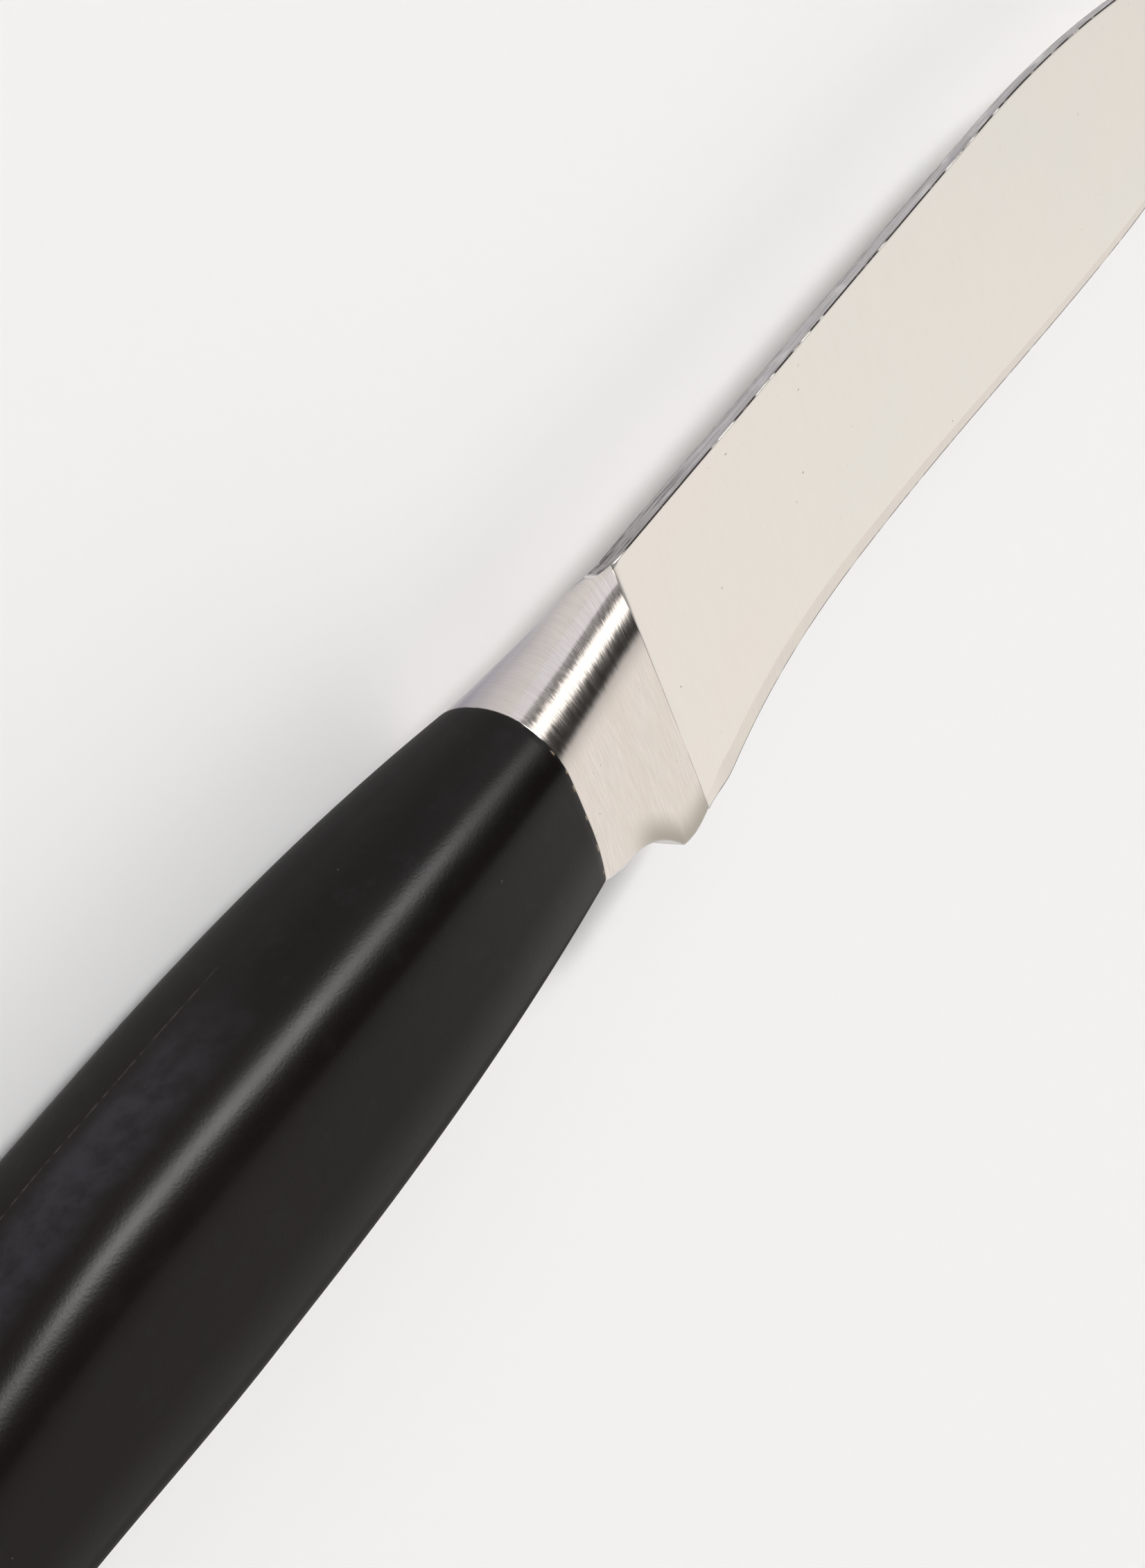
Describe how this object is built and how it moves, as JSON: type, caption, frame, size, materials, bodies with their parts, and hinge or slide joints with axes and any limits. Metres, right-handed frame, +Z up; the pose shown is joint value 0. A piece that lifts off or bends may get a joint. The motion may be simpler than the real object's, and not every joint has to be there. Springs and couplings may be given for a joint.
{
  "type": "steak knife",
  "caption": "Steak knife with a plain recurved steel blade, a brushed bolster with finger notch and heel spur, and a matte black two-shell handle over a hidden tang.",
  "frame": {"origin": "centre of the bounding box, on the surface that the knife lies on", "axes": "+X along the knife to the tip, +Y across the blade to the spine, +Z up out of the knife's right side"},
  "size_m": [0.2312, 0.027, 0.018],
  "materials": {
    "blade_steel": "fine satin stainless steel",
    "bolster_steel": "stainless steel brushed across the knife",
    "tang_steel": "rolled steel, not polished",
    "handle_plastic": "fine satin black moulded plastic",
    "adhesive": "cured adhesive"
  },
  "bodies": {
    "root": {"blade": "blade_steel", "bolster": "bolster_steel", "tang": "tang_steel", "right_handle_shell": "handle_plastic", "left_handle_shell": "handle_plastic", "right_adhesive_bed": "adhesive", "left_adhesive_bed": "adhesive", "front_pin": "tang_steel", "middle_pin": "tang_steel", "rear_pin": "tang_steel"}
  },
  "joints": []
}
